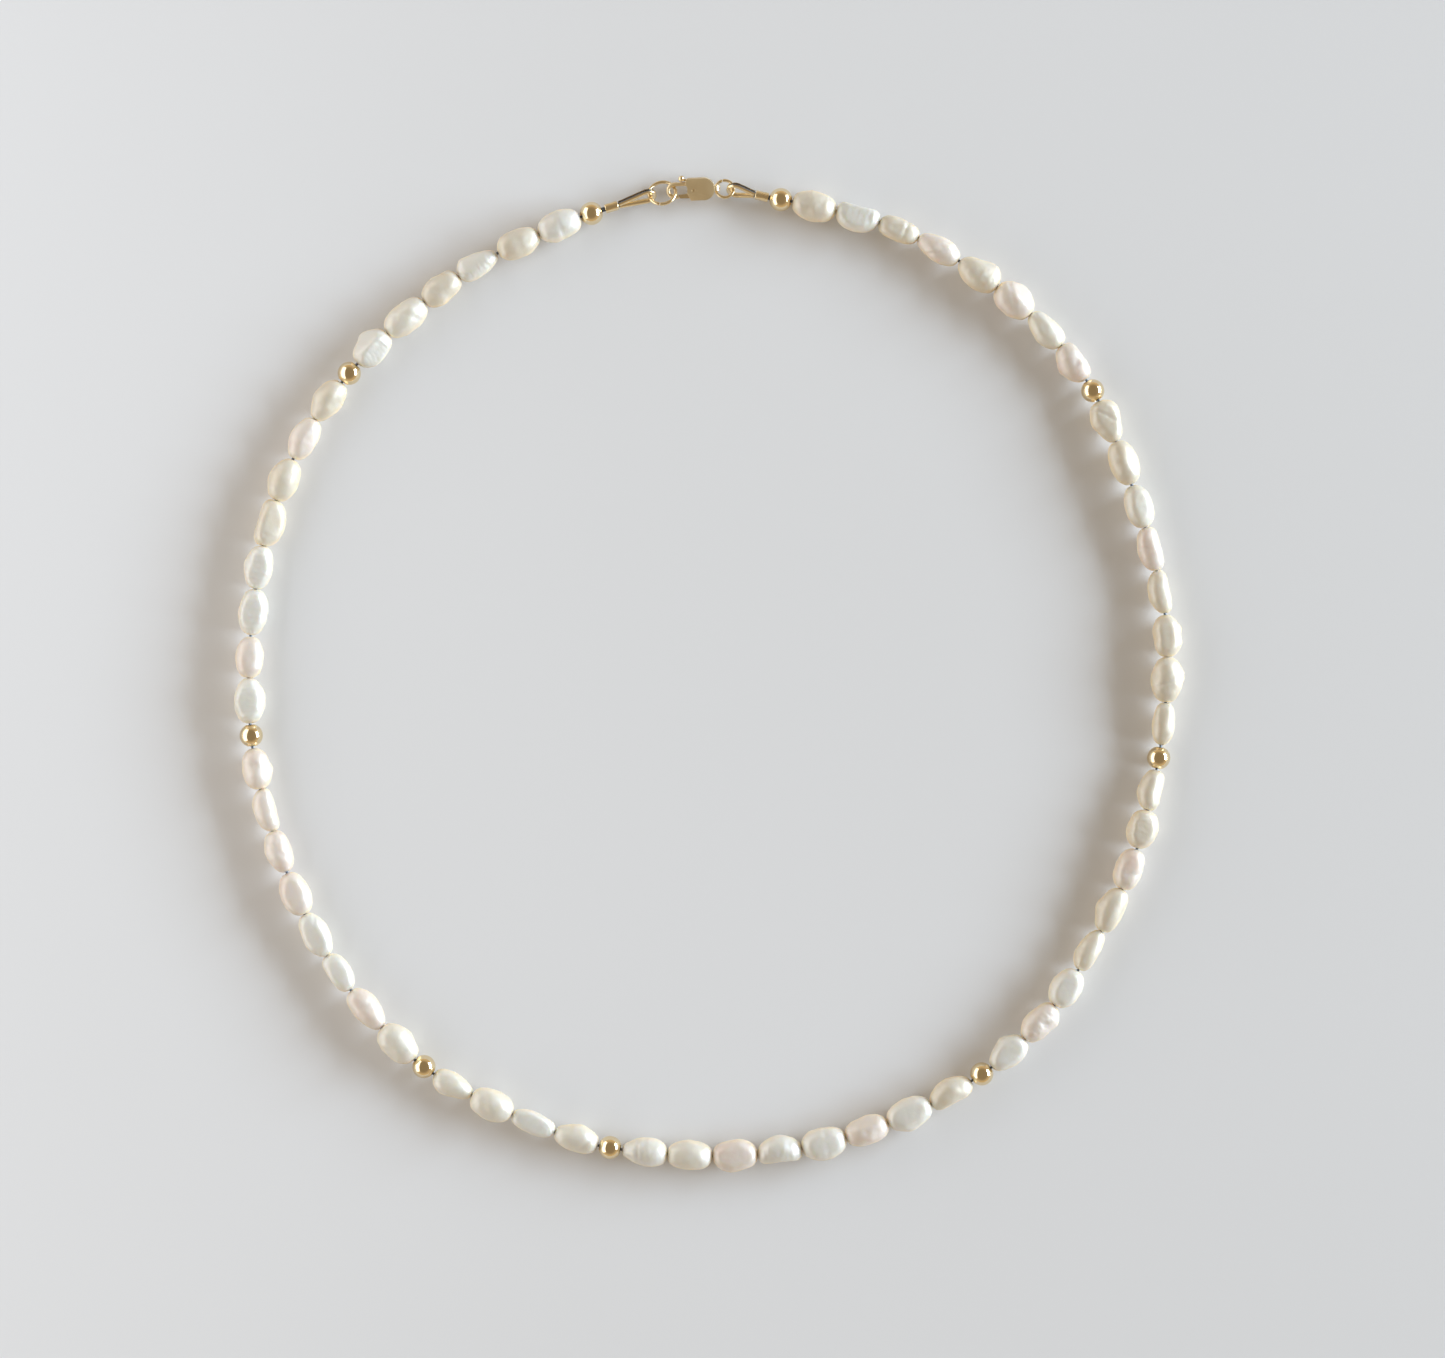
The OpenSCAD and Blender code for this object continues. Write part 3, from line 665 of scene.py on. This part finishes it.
def pearl_point(n, size, blunt, t, angle):
    """A point of pearl n's skin: t runs from 0 at the near end to pi at the far end."""
    length, width, taper = size
    power = blunt[0] if math.cos(t) > 0 else blunt[1]
    r = width / 2 * math.sin(t) ** power * (1 + taper * math.cos(t)) / (1 + abs(taper))
    point = Vector((-length / 2 * math.cos(t), 0, 0)) + around(angle) * r
    seed = Vector((n * 7.3, n * 3.1, n * 5.7))
    lumps = sum(noise.noise(point / spacing + seed) * share for spacing, share in LUMPS)
    point.y *= 1 + lumps
    point.z *= 1 + lumps
    for kind, *values in MARKS[n]:
        point = PRESS[kind](point, size, *values)
    wrinkle = noise.noise(point / WRINKLE_SPACING + seed) * WRINKLE_HEIGHT
    return point + across_wire(point) * wrinkle


def pearl_tint(n):
    return next((tint for tint, numbers in TINTS.items() if n in numbers), "ivory")


def make_pearl(i):
    """Pearl at place i on the strand: its skin, from end to end, then back along its hole."""
    _, n, length, width, taper = BEADS[i]
    middle, along, out, up = bead_frame(i)
    folds = [band_of(i) != band_of(k) for k in (i - 1, i + 1)]
    blunt = [FOLD_END if fold else BLUNT_END for fold in folds]
    snug = [0 if fold else SNUG for fold in folds]
    size = (length + sum(snug), width, taper)
    middle += along * (snug[1] - snug[0]) / 2
    bore = PEARL_BORE / 2
    first, last = (math.asin((LIP * PEARL_BORE / width) ** (1 / power)) for power in blunt)
    mouth = size[0] / 2 * math.cos(max(first, last))
    loops = []
    for j in range(LOOPS + 1):
        t = first + (math.pi - first - last) * j / LOOPS
        loop = []
        for k in range(AROUND):
            angle = 360 * k / AROUND
            point = pearl_point(n, size, blunt, t, angle)
            across = Vector((0, point.y, point.z))
            if across.length < LIP * bore:
                point = Vector((point.x, 0, 0)) + around(angle) * LIP * bore
            loop.append(point)
        loops.append(loop)
    inside = mouth - 0.1 * MM
    for x in (inside, mouth * 0.4, -mouth * 0.4, -inside):
        loops.append(
            [Vector((x, 0, 0)) + around(360 * k / AROUND) * bore for k in range(AROUND)]
        )
    bm = bmesh.new()
    placed = [[middle + along * p.x + out * p.y + up * p.z for p in loop] for loop in loops]
    skin_loops(bm, placed, close_along=True)
    piece = finish_piece(f"pearl_{n:02d}_nacre", bm, NACRE[pearl_tint(n)], 60)
    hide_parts(pearl_node(n))
    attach(piece, f"band_{band_of(i)}")


# ---- Gold beads ----------------------------------------------------------------
def make_gold_bead(i):
    """A seamless round bead with rolled-in lips at its drilled ends."""
    number = BEADS[i][1]
    middle, along, out, up = bead_frame(i)
    radius, bore, lip = GOLD_D / 2, GOLD_BORE / 2, 0.07 * MM
    steps, sides = 24, 40
    outline = []
    first = math.asin((bore + lip) / radius)
    for j in range(steps + 1):
        t = first + (math.pi - 2 * first) * j / steps
        outline.append((-radius * math.cos(t), radius * math.sin(t)))
    edge = radius * math.cos(first)
    rolled = []
    for turn in (30, 60, 90):
        s = math.radians(turn)
        rolled.append((edge - lip * (1 - math.cos(s)), bore + lip * (1 - math.sin(s))))
    outline += [*rolled, (edge / 2, bore), (-edge / 2, bore)]
    outline += [(-x, r) for x, r in reversed(rolled)]
    loops = []
    for x, r in outline:
        loop = []
        for k in range(sides):
            a = 2 * math.pi * k / sides
            loop.append(middle + along * x + (out * math.sin(a) + up * math.cos(a)) * r)
        loops.append(loop)
    bm = bmesh.new()
    skin_loops(bm, loops, close_along=True)
    piece = finish_piece(f"gold_bead_{number}_polished", bm, GOLD_BEAD, 60)
    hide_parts(f"gold_bead_{number}")
    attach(piece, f"gold_bead_{number}")


for bead_number, bead in enumerate(BEADS):
    if bead[0] == "pearl":
        make_pearl(bead_number)
    else:
        make_gold_bead(bead_number)


# ---- The closure's own frames, the same values as the CAD ------------------------
CLASP_AT = Vector((-2.45, 62.25, 1.45)) * MM
CLASP_TURN, CLASP_ROLL = 2.5, 12
HOOK_CROSS = Vector((-2.05, -0.08, 0)) * MM
TAIL_CROSS = Vector((3.2, 0, 0)) * MM
JUMP_R, JUMP_D, JUMP_HEADING, JUMP_TILT = 1.72 * MM, 0.45 * MM, 11, -29
TAIL_R, TAIL_D, TAIL_HEADING, TAIL_TILT = 1.15 * MM, 0.4 * MM, -5, -12
GUARD_TUBE, GUARD_BORE, BEND_R, SLOT_W = 0.72 * MM, 0.48 * MM, 0.95 * MM, 0.3 * MM
CRIMP_LEN, CRIMP_W, LANE, MOUTH = 1.7 * MM, 1.15 * MM, 0.21 * MM, 0.16 * MM
CRIMP_HOLE = 0.44 * MM
# The crimp's squareness, and its size along its length as (share of length, share of width).
CRIMP_POWER = 2.3767
CRIMP_WAIST = [
    (0, 0.93), (0.02, 0.975), (0.06, 1), (0.25, 1), (0.4, 0.975), (0.6, 0.97),
    (0.75, 1), (0.94, 1), (0.98, 0.975), (1, 0.93),
]
WIRE_D = 0.38 * MM
# The cable's outer strands turn once in this length. FLUTE is their flutes' depth as a share
# of its diameter.
WIRE_LAY = 2.4 * MM
FLUTE = 0.035
RING_SLACK = 0.06 * MM
# Heading and roll in degrees, then the length of the legs.
GUARDS = {"left": (17, 60, 3.75 * MM), "right": (167, -57, 2.4 * MM)}


def turned(heading, roll=0.0, at=(0, 0, 0)):
    """A frame that is rolled about its own X axis and then turned about Z."""
    return (
        Matrix.Translation(at)
        @ Matrix.Rotation(math.radians(heading), 4, "Z")
        @ Matrix.Rotation(math.radians(roll), 4, "X")
    )


def towards(angle):
    """Level direction at an angle in degrees from X."""
    return Vector((math.cos(math.radians(angle)), math.sin(math.radians(angle)), 0))


def level(point):
    """The same place at the clasp's height."""
    return Vector((point.x, point.y, CLASP_Z))


CLASP_FRAME = turned(CLASP_TURN, CLASP_ROLL, CLASP_AT)
JUMP_AT = level(CLASP_FRAME @ HOOK_CROSS) - JUMP_R * towards(JUMP_HEADING)
TAIL_AT = level(CLASP_FRAME @ TAIL_CROSS) + TAIL_R * towards(TAIL_HEADING)
# From the middle of a guard's bend to the near side of the ring that it holds.
INSIDE = BEND_R - GUARD_TUBE / 2 - RING_SLACK
# The side of each ring that is furthest from the clasp, where the guard holds it.
JUMP_EDGE = JUMP_AT - JUMP_R * towards(JUMP_HEADING)
TAIL_EDGE = TAIL_AT + TAIL_R * towards(TAIL_HEADING)
# A guard's section starts this far past the slot's edges, outside and inside, in radians.
LIP_OUT, LIP_IN = 0.12, 0.05
# Half of the hairline gap between a guard's closed legs.
HAIR = 0.012 * MM
GUARD_AT = {
    "left": JUMP_EDGE - (INSIDE - JUMP_D / 2) * towards(GUARDS["left"][0]),
    "right": TAIL_EDGE - (INSIDE - TAIL_D / 2) * towards(GUARDS["right"][0]),
}


def in_frame(bm, matrix):
    """Moves a mesh from a frame of its own to the necklace's frame."""
    bmesh.ops.transform(bm, matrix=matrix, verts=bm.verts)


# ---- Rings ---------------------------------------------------------------------
def make_ring(name, centre, turn, tilt, r, d, seam_at):
    """Round wire bent to a ring. Its cut ends have soft edges and nearly meet."""
    steps, sides, seam = 84, 18, 3  # the seam in degrees
    loops = []
    for j in range(steps + 1):
        a = math.radians(seam_at + seam / 2 + (360 - seam) * j / steps)
        shrink = 0.86 if j in (0, steps) else 1.0
        spoke = Vector((math.cos(a), math.sin(a), 0))
        loop = []
        for k in range(sides):
            b = 2 * math.pi * k / sides
            tube = d / 2 * shrink
            loop.append(spoke * (r + tube * math.cos(b)) + Vector((0, 0, tube * math.sin(b))))
        loops.append(loop)
    bm = bmesh.new()
    skin_tube(bm, loops)
    in_frame(bm, turned(turn, tilt, centre))
    piece = finish_piece(name + "_polished", bm, GOLD_FINDING, 50)
    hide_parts(name)
    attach(piece, name)


make_ring("jump_ring", JUMP_AT, JUMP_HEADING, JUMP_TILT, JUMP_R, JUMP_D, 250)
make_ring("tail_ring", TAIL_AT, TAIL_HEADING, TAIL_TILT, TAIL_R, TAIL_D, 110)


# ---- Guards and crimps ------------------------------------------------------------
def guard_path(leg):
    """Middle line of a guard in its own plane, leg, bend and leg, with its outward direction."""
    span = math.hypot(leg, LANE)
    half = math.pi / 2 + math.asin(BEND_R / span) - math.atan2(LANE, leg)
    leg_len = math.sqrt(span**2 - BEND_R**2)
    stops = [(half, leg_len * (1 - j / 8)) for j in range(8)]
    stops += [(half * (1 - j / 12), 0) for j in range(25)]
    stops += [(-half, -leg_len * j / 8) for j in range(1, 9)]
    points = []
    for a, beyond in stops:
        outward = Vector((math.cos(a), math.sin(a), 0))
        tangent = Vector((-math.sin(a), math.cos(a), 0))
        points.append((outward * BEND_R + tangent * beyond, outward))
    return points


def channel_section():
    """The channel's closed outline as (outward, sideways), with rolled lips at its slot."""
    outer, inner = GUARD_TUBE / 2, GUARD_BORE / 2
    outer_start = math.asin(SLOT_W / 2 / outer) + LIP_OUT
    inner_start = math.asin(SLOT_W / 2 / inner) + LIP_IN
    outline = []
    for k in range(23):
        a = outer_start + 2 * (math.pi - outer_start) * k / 22
        outline.append((outer * math.cos(a), outer * math.sin(a)))
    for k in range(17):
        a = -inner_start - 2 * (math.pi - inner_start) * k / 16
        outline.append((inner * math.cos(a), inner * math.sin(a)))
    return outline


def make_guard(side):
    """A horseshoe channel. Its legs stop a hair short of each other where they meet."""
    turn, roll, leg = GUARDS[side]
    section = channel_section()
    loops = []
    for middle, outward in guard_path(leg):
        loop = []
        for x, z in section:
            point = middle + outward * x + Vector((0, 0, z))
            if middle.x < 0:
                point.y = max(point.y, HAIR) if middle.y > 0 else min(point.y, -HAIR)
            loop.append(point)
        loops.append(loop)
    bm = bmesh.new()
    skin_tube(bm, loops)
    in_frame(bm, turned(turn, roll, GUARD_AT[side]))
    piece = finish_piece(f"wire_guard_{side}_polished", bm, GOLD_FINDING, 50)
    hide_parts(f"wire_guard_{side}")
    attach(piece, "band_1")


def rounded_square(width, power, count):
    """Points round a square with soft corners. A power of 2 is a circle, and more is squarer."""
    points = []
    for k in range(count):
        a = 2 * math.pi * k / count
        c, s = math.cos(a), math.sin(a)
        r = width / 2 / (abs(c) ** power + abs(s) ** power) ** (1 / power)
        points.append((r * c, r * s))
    return points


def make_crimp(side):
    """A pressed tube: soft square outside, a slight waist, and a stadium hole for two wires."""
    turn, roll, leg = GUARDS[side]
    count, hole = 48, CRIMP_HOLE / 2
    far = -leg - MOUTH - CRIMP_LEN
    outside = rounded_square(CRIMP_W, CRIMP_POWER, count)
    inside = []
    for k in range(count):
        a = 2 * math.pi * k / count
        shift = LANE if math.sin(a) >= 0 else -LANE
        inside.append((hole * math.cos(a), hole * math.sin(a) + shift))
    loops = []
    for share, scale in CRIMP_WAIST:
        x = far + share * CRIMP_LEN
        loops.append([Vector((x, y * scale, z * scale)) for z, y in outside])
    for share in (1, 0.5, 0):
        x = far + share * CRIMP_LEN
        loops.append([Vector((x, y, z)) for z, y in inside])
    bm = bmesh.new()
    skin_loops(bm, loops, close_along=True)
    in_frame(bm, turned(turn, roll, GUARD_AT[side]))
    piece = finish_piece(f"crimp_tube_{side}_pressed", bm, GOLD_FINDING, 35)
    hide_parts(f"crimp_tube_{side}")
    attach(piece, "band_1")


for side_name in GUARDS:
    make_guard(side_name)
    make_crimp(side_name)


# ---- Clasp ---------------------------------------------------------------------
def softened(node, body, material, width):
    """A copy of a CAD solid with its edges rounded over, as tumbling and polishing do."""
    bm = bmesh.new()
    bm.from_mesh(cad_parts[node].data)
    bmesh.ops.remove_doubles(bm, verts=bm.verts, dist=2e-6)
    bmesh.ops.dissolve_limit(
        bm,
        angle_limit=math.radians(1),
        verts=bm.verts,
        edges=bm.edges,
        use_dissolve_boundaries=False,
    )
    corner = math.radians(42)
    sharp = [e for e in bm.edges if len(e.link_faces) == 2 and e.calc_face_angle(0) > corner]
    bmesh.ops.bevel(
        bm, geom=sharp, offset=width, segments=3, profile=0.5, affect="EDGES", clamp_overlap=True
    )
    piece = finish_piece(node + "_polished", bm, material, 32)
    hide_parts(node)
    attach(piece, body)
    return piece


softened("clasp_body", "clasp", GOLD_SATIN, 0.12 * MM)
softened("clasp_lever", "lever", GOLD_FINDING, 0.05 * MM)
softened("clasp_lever_pin", "clasp", GOLD_FINDING, 0.04 * MM)
spring = softened("clasp_spring", "clasp", WIRE, 0.01 * MM)
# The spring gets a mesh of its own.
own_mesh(spring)


# ---- Beading wire ----------------------------------------------------------------
def resampled(points, step):
    """The same polyline with points about a step apart."""
    path = [points[0]]
    for a, b in zip(points, points[1:]):
        count = max(1, round((b - a).length / step))
        path += [a.lerp(b, k / count) for k in range(1, count + 1)]
    return path


def make_wire(name, points, step):
    """A length of cable: six twisted outer strands show as soft flutes through its coating."""
    path = resampled(points, step)
    sides = 18
    travelled = [0.0]
    for a, b in zip(path, path[1:]):
        travelled.append(travelled[-1] + (b - a).length)

    def section(i):
        twist = travelled[i] / WIRE_LAY * 2 * math.pi
        outline = []
        for k in range(sides):
            a = 2 * math.pi * k / sides
            r = WIRE_D / 2 * (1 - FLUTE * (1 - math.cos(6 * a + twist)))
            outline.append((r * math.cos(a), r * math.sin(a)))
        return outline

    piece = finish_piece(name, swept(path, section), WIRE, 70)
    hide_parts("beading_wire")
    return piece


def guard_stops(side):
    """The wire's path at a guard, from the far end of the crimp round the bend and back."""
    turn, roll, leg = GUARDS[side]
    place = turned(turn, roll, GUARD_AT[side])
    far = -leg - MOUTH - CRIMP_LEN
    bend = [middle for middle, _ in guard_path(leg)]
    stops = [Vector((far, LANE, 0)), Vector((-leg, LANE, 0)), *bend[1:-1]]
    stops += [Vector((-leg, -LANE, 0)), Vector((far, -LANE, 0))]
    return [place @ stop for stop in stops]


def wire_tail(side, i):
    """Where the turned-back end of the wire stops, beside itself inside the end bead."""
    turn, roll, _ = GUARDS[side]
    offset = turned(turn, roll).to_3x3() @ Vector((0, 0.3 * MM, 0))
    return (KNOTS[i] + KNOTS[i + 1]) / 2 + offset


def make_strand():
    """The beading wire: a rigid length in each stretch, and a short one across each fold, left in
    place in no band.
    """
    middles = [(KNOTS[i] + KNOTS[i + 1]) / 2 for i in range(len(BEADS))]
    end = len(BEADS) - 1
    for first, last, band in STRETCHES:
        points = [middles[first], *KNOTS[first + 1 : last + 1], middles[last]]
        if first == 0:
            points = [wire_tail("right", 0), *guard_stops("right"), *points[1:]]
        if last == end:
            stops = guard_stops("left")
            points = [*points[:-1], *reversed(stops), wire_tail("left", end)]
        piece = make_wire(f"beading_wire_{first:02d}_{last:02d}", points, 0.3 * MM)
        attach(piece, f"band_{band}")
    for (_, last, band), (first, _, next_band) in zip(STRETCHES, STRETCHES[1:]):
        knot = KNOTS[first]
        name = f"beading_wire_fold_{last:02d}_{first:02d}"
        piece = make_wire(name, [middles[last], knot, middles[first]], 0.1 * MM)
        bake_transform(piece)


make_strand()
